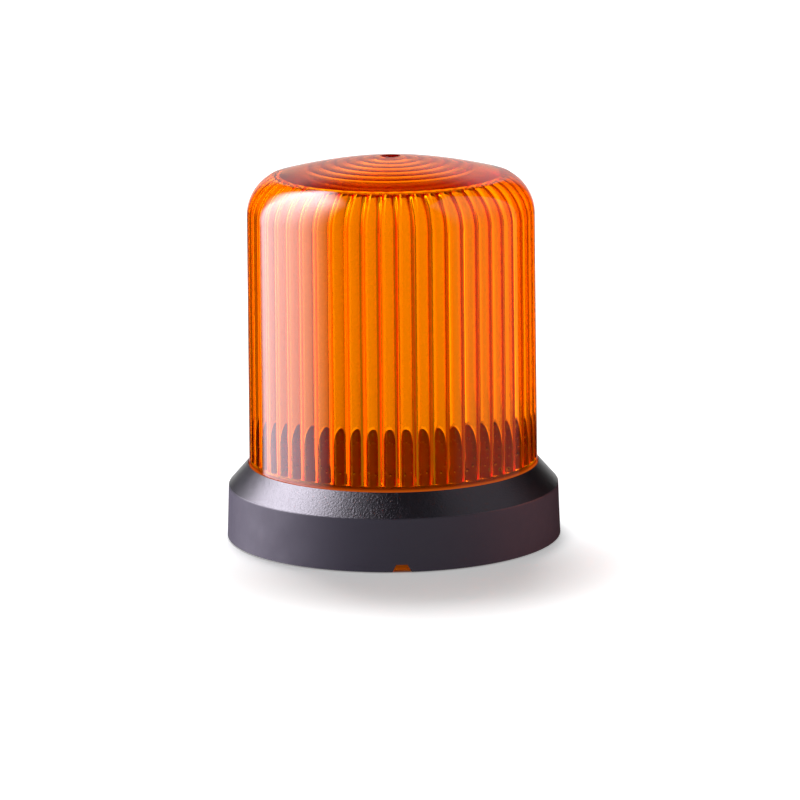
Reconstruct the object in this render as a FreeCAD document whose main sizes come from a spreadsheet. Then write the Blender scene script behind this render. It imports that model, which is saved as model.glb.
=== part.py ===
import FreeCAD, Part
import math
import os
import Sketcher

# LED beacon on a round base: a fluted amber dome with a trim ring turns on a cup
# by a bayonet. The cup holds the light board, the driver board and the wiring.
# Millimetres, +Z up, the origin at the middle of the underside, the front at -Y.

DRIVING_SIZES = {
    # Radii of the dome, the ring and the cup, from the dome's mouth outwards and inwards
    "dome_mouth_radius": 42.3,
    "mouth_gap": 0.35,
    "cone_run": 5.75,
    "foot_flare": 0.6,
    "ring_wall": 2.0,
    "skirt_gap": 1.0,
    "skirt_wall": 2.0,
    "dome_wall": 2.1,
    "collar_gap": 0.4,
    "collar_wall": 3.0,
    "lug_gap": 0.4,
    # Heights of the ring
    "floor_gap": 0.3,
    "ridge_height": 15.4,
    "cone_rise": 6.5,
    "ridge_round": 0.5,
    # Drain notch at the front of the ring, and the ribs that seat the ring
    "notch_width": 5.8,
    "notch_height": 2.1,
    "notch_slant": 1.3,
    "notch_turn": 2.5,
    "rib_count": 6,
    "rib_thickness": 1.6,
    "rib_height": 9.0,
    "rib_gap": 0.1,
    # Dome above the ring
    "wall_height": 73.0,
    "wall_draft": 0.5,
    "shoulder_radius": 12.8,
    "shoulder_rise": 11.3,
    "crown_rise": 5.8,
    "crown_curve": 200.0,
    "dimple_radius": 2.9,
    "dimple_depth": 1.2,
    # Flutes inside the dome
    "flute_count": 50,
    "flute_radius": 2.5,
    "flute_half_angle": 80.0,
    "flute_depth": 1.45,
    "flute_start": 1.3,
    "flute_sweep": 68.0,
    "flute_turn": -91.5,
    # Underside of the crown and its light rings
    "crown_wall": 2.4,
    "crown_inner_slope": 10.0,
    "crown_inner_radius": 24.5,
    "rim_inner_slope": 7.5,
    "shoulder_inner_radius": 31.5,
    "light_ring_count": 6,
    "light_ring_first": 4.6,
    "light_ring_pitch": 3.7,
    "light_ring_width": 0.6,
    "light_ring_depth": 0.15,
    # Dome below the ring's mouth
    "flare_below_mouth": 3.7,
    "flare_below_ridge": 1.2,
    "flare_wall": 1.8,
    "flange_gap": 0.4,
    "flange_height": 2.2,
    "flange_overlap": 1.2,
    # Bayonet
    "lug_count": 3,
    "dome_lug_angle": 16.0,
    "dome_lug_height": 2.4,
    "dome_lug_lift": 1.0,
    "cup_lug_angle": 20.0,
    "cup_lug_height": 2.6,
    "stop_angle": 1.5,
    "stop_gap_angle": 1.0,
    "lock_angle": 20.0,
    # Cup
    "floor_thickness": 3.0,
    "deck_above_mouth": 0.5,
    "deck_thickness": 2.0,
    "deck_gap": 0.8,
    "deck_rim_gap": 0.3,
    "deck_rim_depth": 1.2,
    "deck_rim_wall": 1.5,
    # Seal between cup and dome
    "seal_section": 2.2,
    "seal_chamfer": 0.7,
    "seal_groove_depth": 2.0,
    "seal_groove_play": 0.4,
    "seal_below_top": 2.3,
    # Fixing on the machine
    "insert_count": 3,
    "insert_radius": 3.5,
    "insert_bore_radius": 2.1,
    "insert_length": 8.0,
    "insert_boss_wall": 2.0,
    "insert_boss_gap": 0.3,
    "insert_hole_spare": 0.6,
    "insert_knurl_depth": 0.3,
    "gasket_width": 4.0,
    "gasket_thickness": 1.2,
    "gasket_gap": 0.2,
    "gasket_edge": 2.0,
    # Cable grommet
    "grommet_bore_radius": 3.2,
    "grommet_neck_radius": 6.0,
    "grommet_flange_radius": 8.5,
    "grommet_flange_height": 1.1,
    "grommet_recess_gap": 0.1,
    "grommet_nose_height": 3.0,
    "grommet_nose_wall": 1.2,
    # Light board and its fixing
    "board_thickness": 1.6,
    "board_edge_gap": 0.7,
    "pad_height": 0.6,
    "pad_radius": 3.4,
    "post_radius": 3.5,
    "post_gap": 0.8,
    "led_count": 12,
    "led_circle_radius": 22.0,
    "led_side": 3.4,
    "led_height": 0.5,
    "led_lens_radius": 1.5,
    "led_lens_top_radius": 1.35,
    "led_lens_rise": 1.9,
    "led_window_radius": 1.7,
    "led_window_slant": 10.0,
    # Screws
    "cover_screw_radius": 1.5,
    "cover_screw_length": 11.0,
    "cover_head_radius": 2.8,
    "cover_head_height": 1.2,
    "board_screw_radius": 1.25,
    "board_screw_length": 6.0,
    "board_head_radius": 2.3,
    "board_head_height": 1.4,
    "drive_radius": 0.9,
    "drive_depth": 0.7,
    "screw_gap": 0.2,
    "screw_spare": 1.0,
    # Driver board and its parts
    "standoff_height": 6.0,
    "standoff_radius": 3.0,
    "standoff_circle_gap": 0.4,
    "wire_hole_radius": 4.5,
    "terminal_pitch": 5.0,
    "terminal_depth": 7.5,
    "terminal_height": 6.8,
    "terminal_count": 3,
    "terminal_offset": 10.0,
    "terminal_screw_radius": 1.6,
    "terminal_screw_length": 3.0,
    "terminal_screw_depth": 0.8,
    "terminal_well_depth": 4.2,
    "terminal_gap": 0.15,
    "terminal_mouth_side": 2.8,
    "terminal_mouth_depth": 1.6,
    "terminal_mouth_lift": 0.7,
    "capacitor_radius": 3.15,
    "capacitor_height": 5.8,
    "capacitor_foot_side": 6.8,
    "capacitor_foot_height": 0.8,
    "capacitor_offset": 13.5,
    "capacitor_spacing": 8.0,
    "inductor_side": 9.0,
    "inductor_height": 4.6,
    "inductor_core_radius": 3.2,
    "inductor_core_rise": 0.4,
    "inductor_offset": 13.0,
    "rectifier_width": 6.5,
    "rectifier_depth": 5.0,
    "rectifier_height": 2.6,
    "rectifier_offset_side": 9.5,
    "rectifier_offset_front": 0.5,
    "chip_width": 5.0,
    "chip_depth": 4.0,
    "chip_height": 1.6,
    "chip_offset_side": 12.5,
    "chip_offset_front": 7.0,
    "fuse_radius": 4.2,
    "fuse_height": 6.2,
    "fuse_offset_side": 13.5,
    "fuse_offset_front": 7.2,
    "connector_width": 7.6,
    "connector_depth": 2.6,
    "connector_edge_gap": 3.0,
    # Azimuths in degrees from +X, the front at -90
    "insert_turn": 30.0,
    "post_turn": 90.0,
    "standoff_turn": 30.0,
    "lug_turn": -30.0,
}

doc = FreeCAD.newDocument("led_beacon")
sheet = doc.addObject("Spreadsheet::Sheet", "Sizes")


class Size:
    """A sheet cell, or a sum worked out from cells: its number, and the expression that binds it."""

    def __init__(self, number, text):
        self.number = number
        self.text = text

    def __add__(self, other):
        other = as_size(other)
        return Size(self.number + other.number, f"({self.text} + {other.text})")

    def __sub__(self, other):
        other = as_size(other)
        return Size(self.number - other.number, f"({self.text} - {other.text})")

    def __mul__(self, other):
        other = as_size(other)
        return Size(self.number * other.number, f"({self.text} * {other.text})")

    def __truediv__(self, other):
        other = as_size(other)
        return Size(self.number / other.number, f"({self.text} / {other.text})")

    def __neg__(self):
        return Size(-self.number, f"(0 - {self.text})")


def as_size(value):
    if isinstance(value, Size):
        return value
    return Size(float(value), str(value))


def root(value):
    return Size(math.sqrt(value.number), f"sqrt({value.text})")


def cosine(angle):
    return Size(math.cos(math.radians(angle.number)), f"cos({angle.text})")


def sine(angle):
    return Size(math.sin(math.radians(angle.number)), f"sin({angle.text})")


def tangent(angle):
    return Size(math.tan(math.radians(angle.number)), f"tan({angle.text})")


class Sizes:
    """The sheet's cells by name."""


def fill_sheet():
    cells = Sizes()
    for row, (name, number) in enumerate(DRIVING_SIZES.items(), start=1):
        sheet.set(f"A{row}", name)
        sheet.set(f"B{row}", str(number))
        sheet.setAlias(f"B{row}", name)
        setattr(cells, name, Size(float(number), f"Sizes.{name}"))
    doc.recompute()
    return cells


size = fill_sheet()
ZERO = as_size(0)

# Radii that follow from the dome's mouth
ring_mouth_radius = size.dome_mouth_radius + size.mouth_gap
ridge_radius = ring_mouth_radius + size.cone_run
foot_radius = ridge_radius + size.foot_flare
skirt_outer_radius = ridge_radius - size.ring_wall - size.skirt_gap
skirt_inner_radius = skirt_outer_radius - size.skirt_wall
flange_radius = skirt_outer_radius + size.flange_overlap
cup_rim_radius = skirt_inner_radius - size.lug_gap
bore_radius = size.dome_mouth_radius - size.dome_wall
collar_radius = bore_radius - size.collar_gap
cup_inner_radius = collar_radius - size.collar_wall
deck_radius = bore_radius - size.deck_gap

# Heights that follow from the ring and the floor
mouth_height = size.ridge_height + size.cone_rise
shoulder_height = mouth_height + size.wall_height
rim_height = shoulder_height + size.shoulder_rise
apex_height = rim_height + size.crown_rise
flute_foot_height = mouth_height + size.flute_start
deck_top = mouth_height + size.deck_above_mouth
collar_top = deck_top - size.deck_thickness
light_board_top = collar_top - size.pad_height
light_board_bottom = light_board_top - size.board_thickness
driver_board_bottom = size.floor_thickness + size.standoff_height
driver_board_top = driver_board_bottom + size.board_thickness
flange_top = size.flange_gap + size.flange_height
dome_lug_bottom = size.floor_thickness + size.dome_lug_lift
dome_lug_top = dome_lug_bottom + size.dome_lug_height
cup_lug_bottom = dome_lug_top + size.lug_gap
cup_lug_top = cup_lug_bottom + size.cup_lug_height

# Circles on which the cup's posts, bosses and standoffs stand
insert_boss_radius = size.insert_radius + size.insert_boss_wall
insert_circle_radius = cup_inner_radius - insert_boss_radius - size.insert_boss_gap
post_circle_radius = cup_inner_radius - size.post_radius - size.post_gap
driver_board_radius = insert_circle_radius - insert_boss_radius - size.board_edge_gap
light_board_radius = cup_inner_radius - size.deck_rim_wall - size.deck_rim_gap - size.board_edge_gap
standoff_circle_radius = driver_board_radius - size.standoff_radius - size.standoff_circle_gap

pieces = {}


def new_body(label, several=False):
    body = doc.addObject("PartDesign::Body", label)
    body.Label = label
    body.AllowCompound = several
    pieces[label] = body
    return body


def origin_feature(body, role):
    return next(feature for feature in body.Origin.OriginFeatures if feature.Role == role)


def new_sketch(body, name, role="XZ_Plane", turn=None, lift=None):
    """A sketch on one of the body's planes, turned about +Z or lifted along it."""
    sketch = body.newObject("Sketcher::SketchObject", name)
    sketch.AttachmentSupport = [(origin_feature(body, role), "")]
    sketch.MapMode = "FlatFace"
    if turn is not None:
        upright = FreeCAD.Vector(0, 1, 0) if role == "XZ_Plane" else FreeCAD.Vector(0, 0, 1)
        turned = FreeCAD.Rotation(upright, turn.number)
        sketch.AttachmentOffset = FreeCAD.Placement(FreeCAD.Vector(), turned)
        sketch.setExpression("AttachmentOffset.Rotation.Angle", turn.text)
    if lift is not None:
        sketch.setExpression("AttachmentOffset.Base.z", lift.text)
    return sketch


def bind(sketch, constraint, value):
    index = sketch.addConstraint(constraint)
    sketch.setExpression(f"Constraints[{index}]", value.text)


def pin_point(sketch, edge, end, point):
    """Holds one end of an edge at bound coordinates."""
    for kind, value, other_axis in (("DistanceX", point[0], -2), ("DistanceY", point[1], -1)):
        if value.text == ZERO.text:
            sketch.addConstraint(Sketcher.Constraint("PointOnObject", edge, end, other_axis))
        elif value.number < 0:
            bind(sketch, Sketcher.Constraint(kind, edge, end, -1, 1, -value.number), -value)
        else:
            bind(sketch, Sketcher.Constraint(kind, -1, 1, edge, end, value.number), value)


def arc_centre(start, end, radius):
    """Centre of the arc that turns left from start to end, or right if the radius is negative."""
    middle = (start + end) / 2
    chord = end - start
    half = chord.Length / 2
    reach = math.sqrt(radius * radius - half * half)
    left = FreeCAD.Vector(-chord.y, chord.x, 0).normalize()
    return middle + left * math.copysign(reach, radius)


def draw_arc(sketch, start, end, radius):
    centre = arc_centre(start, end, radius.number)
    circle = Part.Circle(centre, FreeCAD.Vector(0, 0, 1), abs(radius.number))
    first, last = (start, end) if radius.number > 0 else (end, start)
    arc = Part.ArcOfCircle(circle, circle.parameter(first), circle.parameter(last))
    edge = sketch.addGeometry(arc, False)
    positive = radius if radius.number > 0 else -radius
    bind(sketch, Sketcher.Constraint("Radius", edge, positive.number), positive)
    return edge, (1, 2) if radius.number > 0 else (2, 1)


def outline(sketch, points, arcs=None, closed=True):
    """Lines through the points in turn; arcs gives the radius of the edge that leaves a point."""
    arcs = arcs or {}
    spots = [FreeCAD.Vector(x.number, y.number, 0) for x, y in points]
    count = len(points)
    edges = []
    for index in range(count if closed else count - 1):
        start = spots[index]
        end = spots[(index + 1) % count]
        if index in arcs:
            edges.append(draw_arc(sketch, start, end, arcs[index]))
        else:
            edges.append((sketch.addGeometry(Part.LineSegment(start, end), False), (1, 2)))
        pin_point(sketch, edges[-1][0], edges[-1][1][0], points[index])
    for index in range(len(edges) - (0 if closed else 1)):
        edge, ends = edges[index]
        after, after_ends = edges[(index + 1) % len(edges)]
        sketch.addConstraint(Sketcher.Constraint("Coincident", edge, ends[1], after, after_ends[0]))
    if not closed:
        pin_point(sketch, edges[-1][0], edges[-1][1][1], points[-1])


def upright_axis(sketch, x):
    """A construction line parallel to +Z, for turning a profile about an axis off the middle."""
    low = FreeCAD.Vector(x.number, 0, 0)
    high = FreeCAD.Vector(x.number, 1, 0)
    edge = sketch.addGeometry(Part.LineSegment(low, high), True)
    pin_point(sketch, edge, 1, (x, ZERO))
    sketch.addConstraint(Sketcher.Constraint("Vertical", edge))
    sketch.addConstraint(Sketcher.Constraint("Distance", edge, 1))
    return "Axis0"


def turned(body, name, points, arcs=None, turn=None, axis_at=None, cut=False, angle=None):
    """A profile of (radius, height) points turned about +Z, or about an upright line."""
    sketch = new_sketch(body, name + "_profile", turn=turn)
    axis = "V_Axis"
    if axis_at is not None:
        axis = upright_axis(sketch, axis_at)
        points = [(axis_at + x, y) for x, y in points]
    outline(sketch, points, arcs)
    feature = body.newObject("PartDesign::" + ("Groove" if cut else "Revolution"), name)
    feature.Profile = sketch
    feature.ReferenceAxis = (sketch, [axis])
    feature.Angle = 360
    if angle is not None:
        feature.Midplane = True
        feature.setExpression("Angle", angle.text)
    body.Tip = feature
    return feature


def around(body, features, count):
    """Copies of the features, evenly spaced about +Z."""
    pattern = body.newObject("PartDesign::PolarPattern", features[0].Name + "_pattern")
    pattern.Originals = features
    pattern.Axis = (origin_feature(body, "Z_Axis"), [""])
    pattern.Angle = 360
    pattern.setExpression("Occurrences", count.text)
    body.Tip = pattern
    return pattern


def rectangle(x_low, x_high, y_low, y_high):
    return [(x_low, y_low), (x_high, y_low), (x_high, y_high), (x_low, y_high)]


def block(name, centre_x, centre_y, bottom, width, depth, height):
    """A box standing on bottom, centred on a point of the plan."""
    box = doc.addObject("Part::Box", name)
    box.setExpression("Length", width.text)
    box.setExpression("Width", depth.text)
    box.setExpression("Height", height.text)
    box.setExpression("Placement.Base.x", (centre_x - width / 2).text)
    box.setExpression("Placement.Base.y", (centre_y - depth / 2).text)
    box.setExpression("Placement.Base.z", bottom.text)
    return box


def rod(name, centre_x, centre_y, bottom, radius, height):
    """An upright cylinder standing on bottom."""
    cylinder = doc.addObject("Part::Cylinder", name)
    cylinder.setExpression("Radius", radius.text)
    cylinder.setExpression("Height", height.text)
    cylinder.setExpression("Placement.Base.x", centre_x.text)
    cylinder.setExpression("Placement.Base.y", centre_y.text)
    cylinder.setExpression("Placement.Base.z", bottom.text)
    return cylinder


def keep(label, feature):
    feature.Label = label
    pieces[label] = feature
    return feature


def joined(name, parts):
    fuse = doc.addObject("Part::MultiFuse", name)
    fuse.Shapes = parts
    return fuse


def less(name, base, tools):
    cut = doc.addObject("Part::Cut", name)
    cut.Base = base
    cut.Tool = tools[0] if len(tools) == 1 else joined(name + "_tools", tools)
    return cut


def group(name, parts):
    compound = doc.addObject("Part::Compound", name)
    compound.Links = parts
    return compound


def build_lens_dome():
    """Amber dome: smooth outside, fluted inside, with a skirt and bayonet lugs under the ring."""
    body = new_body("lens_dome")
    wall_top = size.dome_mouth_radius - size.wall_draft
    shoulder_centre = wall_top - size.shoulder_radius
    rim_radius = shoulder_centre + root(
        size.shoulder_radius * size.shoulder_radius - size.shoulder_rise * size.shoulder_rise)
    crest_wall = size.dome_wall + size.flute_depth
    crown_inner_apex = apex_height - size.crown_wall

    def crown_underside(radius):
        return crown_inner_apex - radius * tangent(size.crown_inner_slope)

    crown_inner_height = crown_underside(size.crown_inner_radius)
    run_out = size.shoulder_inner_radius - size.crown_inner_radius
    shoulder_inner_height = crown_inner_height - run_out * tangent(size.rim_inner_slope)
    crest_top = wall_top - crest_wall
    across = crest_top - size.shoulder_inner_radius
    rise = shoulder_inner_height - shoulder_height
    shoulder_inner_arc = (across * across + rise * rise) / (across * 2)
    flare_top = mouth_height - size.flare_below_mouth
    flare_foot = size.ridge_height - size.flare_below_ridge
    underside = [(ZERO, crown_inner_apex)]
    for index in range(int(size.light_ring_count.number)):
        middle = size.light_ring_first + size.light_ring_pitch * index
        near = middle - size.light_ring_width / 2
        far = middle + size.light_ring_width / 2
        underside.append((near, crown_underside(near)))
        underside.append((middle, crown_underside(middle) + size.light_ring_depth))
        underside.append((far, crown_underside(far)))
    underside.append((size.crown_inner_radius, crown_inner_height))
    profile = [
        (ZERO, apex_height),
        *underside,
        (size.shoulder_inner_radius, shoulder_inner_height),
        (crest_top, shoulder_height),
        (size.dome_mouth_radius - crest_wall, flute_foot_height),
        (bore_radius, flute_foot_height),
        (bore_radius, flare_top - size.flare_wall),
        (skirt_inner_radius, flare_foot - size.flare_wall),
        (skirt_inner_radius, size.flange_gap),
        (flange_radius, size.flange_gap),
        (flange_radius, flange_top),
        (skirt_outer_radius, flange_top),
        (skirt_outer_radius, flare_foot),
        (size.dome_mouth_radius, flare_top),
        (size.dome_mouth_radius, mouth_height),
        (wall_top, shoulder_height),
        (rim_radius, rim_height),
    ]
    last = len(profile) - 1
    arcs = {len(underside) + 1: -shoulder_inner_arc, last - 1: size.shoulder_radius, last: size.crown_curve}
    turned(body, "dome_shell", profile, arcs)

    dimple = [(ZERO, apex_height - size.dimple_depth),
              (size.dimple_radius, apex_height - size.dimple_depth),
              (size.dimple_radius, apex_height + size.dimple_depth),
              (ZERO, apex_height + size.dimple_depth)]
    turned(body, "dimple", dimple, cut=True)

    path_offset = size.dome_wall + size.flute_radius
    path_top = wall_top - path_offset
    path_foot = size.dome_mouth_radius - path_offset
    path_arc = size.shoulder_radius - path_offset
    bend_x = shoulder_centre + path_arc * cosine(size.flute_sweep)
    bend_z = shoulder_height + path_arc * sine(size.flute_sweep)
    path = new_sketch(body, "flute_path", turn=size.flute_turn)
    foot = (path_foot, flare_top)
    outline(path, [foot, (path_top, shoulder_height), (bend_x, bend_z)], arcs={1: path_arc}, closed=False)
    section = new_sketch(body, "flute_section", role="XY_Plane", turn=size.flute_turn, lift=flare_top)
    chord_x = path_foot + size.flute_radius * cosine(size.flute_half_angle)
    chord_y = size.flute_radius * sine(size.flute_half_angle)
    outline(section, [(chord_x, -chord_y), (chord_x, chord_y)], arcs={0: size.flute_radius})
    flute = body.newObject("PartDesign::SubtractivePipe", "flute")
    flute.Profile = section
    flute.Spine = (path, ["Edge1", "Edge2"])
    body.Tip = flute
    around(body, [flute], size.flute_count)

    lug = rectangle(bore_radius, skirt_outer_radius - size.skirt_wall / 2, dome_lug_bottom, dome_lug_top)
    dome_lug = turned(body, "dome_lug", lug, turn=size.lug_turn, angle=size.dome_lug_angle)
    around(body, [dome_lug], size.lug_count)


def build_trim_ring():
    """Black ring: a cone over an upright skirt, seated by ribs on the dome's foot flange."""
    body = new_body("trim_ring")
    slant = root(size.cone_run * size.cone_run + size.cone_rise * size.cone_rise)
    cone_drop = size.ring_wall * slant / size.cone_run
    lean = size.cone_rise / size.cone_run
    inner_ridge = ridge_radius - size.ring_wall
    profile = [
        (foot_radius - size.ring_wall, size.floor_gap),
        (foot_radius, size.floor_gap),
        (ridge_radius, size.ridge_height),
        (ring_mouth_radius, mouth_height),
        (ring_mouth_radius, mouth_height - cone_drop),
        (inner_ridge, mouth_height - cone_drop - (inner_ridge - ring_mouth_radius) * lean),
    ]
    shell = turned(body, "ring_shell", profile)
    doc.recompute()

    ridge_edge = nearest_circle(shell.Shape, ridge_radius.number, size.ridge_height.number)
    softened = body.newObject("PartDesign::Fillet", "ridge_round")
    softened.Base = (shell, [ridge_edge])
    softened.setExpression("Radius", size.ridge_round.text)
    body.Tip = softened

    rib_top = flange_top + size.rib_height
    rib_profile = rectangle(skirt_outer_radius + size.rib_gap, foot_radius - size.ring_wall / 2,
                            flange_top, rib_top)
    rib_sketch = new_sketch(body, "rib_profile")
    outline(rib_sketch, [rib_profile[0], rib_profile[1],
                         (ridge_radius - size.ring_wall / 2, rib_top), rib_profile[3]])
    rib = body.newObject("PartDesign::Pad", "rib")
    rib.Profile = rib_sketch
    rib.SideType = "Symmetric"
    rib.setExpression("Length", size.rib_thickness.text)
    body.Tip = rib
    around(body, [rib], size.rib_count)

    half = size.notch_width / 2
    top = size.floor_gap + size.notch_height
    notch_sketch = new_sketch(body, "notch_profile", turn=size.notch_turn)
    outline(notch_sketch, [(-half, ZERO), (half, ZERO),
                           (half - size.notch_slant, top), (size.notch_slant - half, top)])
    notch = body.newObject("PartDesign::Pocket", "notch")
    notch.Profile = notch_sketch
    notch.Reversed = True
    notch.setExpression("Length", (foot_radius + size.ring_wall).text)
    body.Tip = notch


def nearest_circle(shape, radius, height):
    """Name of the round edge about +Z that lies nearest to a radius and a height."""
    def distance(edge):
        curve = edge.Curve
        return math.hypot(curve.Radius - radius, curve.Center.z - height)

    rounds = [(distance(edge), index) for index, edge in enumerate(shape.Edges, start=1)
              if isinstance(edge.Curve, Part.Circle)]
    return f"Edge{min(rounds)[1]}"


def build_base_housing():
    """Black cup: floor, collar with the seal's groove, bayonet lugs, posts and bosses."""
    body = new_body("base_housing")
    groove_half = (size.seal_section + size.seal_groove_play) / 2
    groove_middle = collar_top - size.seal_below_top
    groove_floor = collar_radius - size.seal_groove_depth
    gasket_outer = cup_rim_radius - size.gasket_edge
    recess_outer = gasket_outer + size.gasket_gap
    recess_inner = gasket_outer - size.gasket_width - size.gasket_gap
    grommet_recess = size.grommet_flange_radius + size.grommet_recess_gap
    grommet_depth = size.grommet_flange_height + size.grommet_recess_gap
    profile = [
        (size.grommet_neck_radius, grommet_depth),
        (grommet_recess, grommet_depth),
        (grommet_recess, ZERO),
        (recess_inner, ZERO),
        (recess_inner, size.gasket_thickness),
        (recess_outer, size.gasket_thickness),
        (recess_outer, ZERO),
        (cup_rim_radius, ZERO),
        (cup_rim_radius, size.floor_thickness),
        (collar_radius, size.floor_thickness),
        (collar_radius, groove_middle - groove_half),
        (groove_floor, groove_middle - groove_half),
        (groove_floor, groove_middle + groove_half),
        (collar_radius, groove_middle + groove_half),
        (collar_radius, collar_top),
        (cup_inner_radius, collar_top),
        (cup_inner_radius, size.floor_thickness),
        (size.grommet_neck_radius, size.floor_thickness),
    ]
    turned(body, "cup_shell", profile)

    half_collar = collar_radius - size.collar_wall / 2
    lug = rectangle(half_collar, cup_rim_radius, cup_lug_bottom, cup_lug_top)
    cup_lug = turned(body, "cup_lug", lug, turn=size.lug_turn, angle=size.cup_lug_angle)
    half_floor = size.floor_thickness / 2
    stop = rectangle(half_collar, cup_rim_radius, half_floor, cup_lug_top)
    reach = size.dome_lug_angle / 2 + size.stop_gap_angle + size.stop_angle / 2
    closed_stop = turned(body, "closed_stop", stop, turn=size.lug_turn - reach, angle=size.stop_angle)
    open_turn = size.lug_turn + size.lock_angle + reach
    open_stop = turned(body, "open_stop", stop, turn=open_turn, angle=size.stop_angle)
    around(body, [cup_lug, closed_stop, open_stop], size.lug_count)

    boss_top = size.insert_length + size.insert_hole_spare + size.insert_boss_wall
    boss = turned(body, "insert_boss", rectangle(ZERO, insert_boss_radius, half_floor, boss_top),
                  turn=size.insert_turn, axis_at=insert_circle_radius)
    around(body, [boss], size.insert_count)
    hole_top = size.insert_length + size.insert_hole_spare
    insert_hole = turned(body, "insert_hole", rectangle(ZERO, size.insert_radius, ZERO, hole_top),
                         turn=size.insert_turn, axis_at=insert_circle_radius, cut=True)
    around(body, [insert_hole], size.insert_count)

    post = turned(body, "cover_post", rectangle(ZERO, size.post_radius, half_floor, light_board_bottom),
                  turn=size.post_turn, axis_at=post_circle_radius)
    around(body, [post], size.insert_count)
    pilot_foot = deck_top - size.cover_screw_length - size.screw_spare
    pilot = rectangle(ZERO, size.cover_screw_radius, pilot_foot, light_board_bottom)
    post_pilot = turned(body, "post_pilot", pilot, turn=size.post_turn, axis_at=post_circle_radius, cut=True)
    around(body, [post_pilot], size.insert_count)

    standoff_shape = rectangle(ZERO, size.standoff_radius, half_floor, driver_board_bottom)
    standoff = turned(body, "board_standoff", standoff_shape, turn=size.standoff_turn,
                      axis_at=standoff_circle_radius)
    around(body, [standoff], size.insert_count)
    screw_foot = driver_board_top - size.board_screw_length - size.screw_gap
    board_pilot_shape = rectangle(ZERO, size.board_screw_radius, screw_foot, driver_board_bottom)
    board_pilot = turned(body, "standoff_pilot", board_pilot_shape, turn=size.standoff_turn,
                         axis_at=standoff_circle_radius, cut=True)
    around(body, [board_pilot], size.insert_count)


def build_mounting_gasket():
    body = new_body("mounting_gasket")
    outer = cup_rim_radius - size.gasket_edge
    turned(body, "gasket_ring", rectangle(outer - size.gasket_width, outer, ZERO, size.gasket_thickness))


def build_mounting_inserts():
    """Threaded brass inserts, open below, with a waist between two knurled bands."""
    body = new_body("mounting_inserts", several=True)
    waist = size.insert_radius - size.insert_knurl_depth
    third = size.insert_length / 3
    profile = [
        (size.insert_bore_radius, ZERO),
        (size.insert_radius, ZERO),
        (size.insert_radius, third),
        (waist, third),
        (waist, third * 2),
        (size.insert_radius, third * 2),
        (size.insert_radius, size.insert_length),
        (size.insert_bore_radius, size.insert_length),
    ]
    insert = turned(body, "insert", profile, turn=size.insert_turn, axis_at=insert_circle_radius)
    around(body, [insert], size.insert_count)


def build_cable_grommet():
    """Rubber grommet in the floor, with a nose that grips the cable."""
    body = new_body("cable_grommet")
    below = size.grommet_recess_gap
    nose_top = size.floor_thickness + size.grommet_flange_height + size.grommet_nose_height
    profile = [
        (size.grommet_bore_radius, below),
        (size.grommet_flange_radius, below),
        (size.grommet_flange_radius, below + size.grommet_flange_height),
        (size.grommet_neck_radius, below + size.grommet_flange_height),
        (size.grommet_neck_radius, size.floor_thickness),
        (size.grommet_flange_radius, size.floor_thickness),
        (size.grommet_neck_radius, size.floor_thickness + size.grommet_flange_height),
        (size.grommet_bore_radius + size.grommet_nose_wall, nose_top),
        (size.grommet_bore_radius, nose_top),
    ]
    turned(body, "grommet", profile)


def build_dome_seal():
    """Rubber ring of square section in the collar's groove, its outer corners taken off."""
    body = new_body("dome_seal")
    inner = collar_radius - size.seal_groove_depth
    outer = inner + size.seal_section
    foot = collar_top - size.seal_below_top - size.seal_section / 2
    top = foot + size.seal_section
    lip = outer - size.seal_chamfer
    turned(body, "seal_ring", [(inner, foot), (lip, foot), (outer, foot + size.seal_chamfer),
                               (outer, top - size.seal_chamfer), (lip, top), (inner, top)])


def board_hole(body, name, circle_radius, radius, turn, bottom, top, count):
    """Round holes through a board or deck, on a circle."""
    shape = rectangle(ZERO, radius, bottom, top)
    hole = turned(body, name, shape, turn=turn, axis_at=circle_radius, cut=True)
    around(body, [hole], count)


def build_driver_board():
    body = new_body("driver_board")
    plate = rectangle(size.wire_hole_radius, driver_board_radius, driver_board_bottom, driver_board_top)
    turned(body, "driver_plate", plate)
    board_hole(body, "driver_screw_hole", standoff_circle_radius, size.board_screw_radius + size.screw_gap,
               size.standoff_turn, driver_board_bottom, driver_board_top, size.insert_count)


def build_light_board():
    body = new_body("led_board")
    turned(body, "led_plate", rectangle(ZERO, light_board_radius, light_board_bottom, light_board_top))
    board_hole(body, "led_screw_hole", post_circle_radius, size.cover_screw_radius + size.screw_gap,
               size.post_turn, light_board_bottom, light_board_top, size.insert_count)


def build_leds():
    """Square packages with a round lens each, on a circle."""
    body = new_body("leds", several=True)
    half = size.led_side / 2
    package_top = light_board_top + size.led_height
    base_sketch = new_sketch(body, "package_outline", role="XY_Plane", lift=light_board_top)
    middle = size.led_circle_radius
    outline(base_sketch, rectangle(middle - half, middle + half, -half, half))
    package = body.newObject("PartDesign::Pad", "package")
    package.Profile = base_sketch
    package.setExpression("Length", size.led_height.text)
    body.Tip = package
    lens_top = package_top + size.led_lens_rise
    lens_profile = [(ZERO, package_top), (size.led_lens_radius, package_top),
                    (size.led_lens_top_radius, lens_top), (ZERO, lens_top)]
    lens = turned(body, "led_lens", lens_profile, axis_at=size.led_circle_radius)
    around(body, [package, lens], size.led_count)


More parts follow.
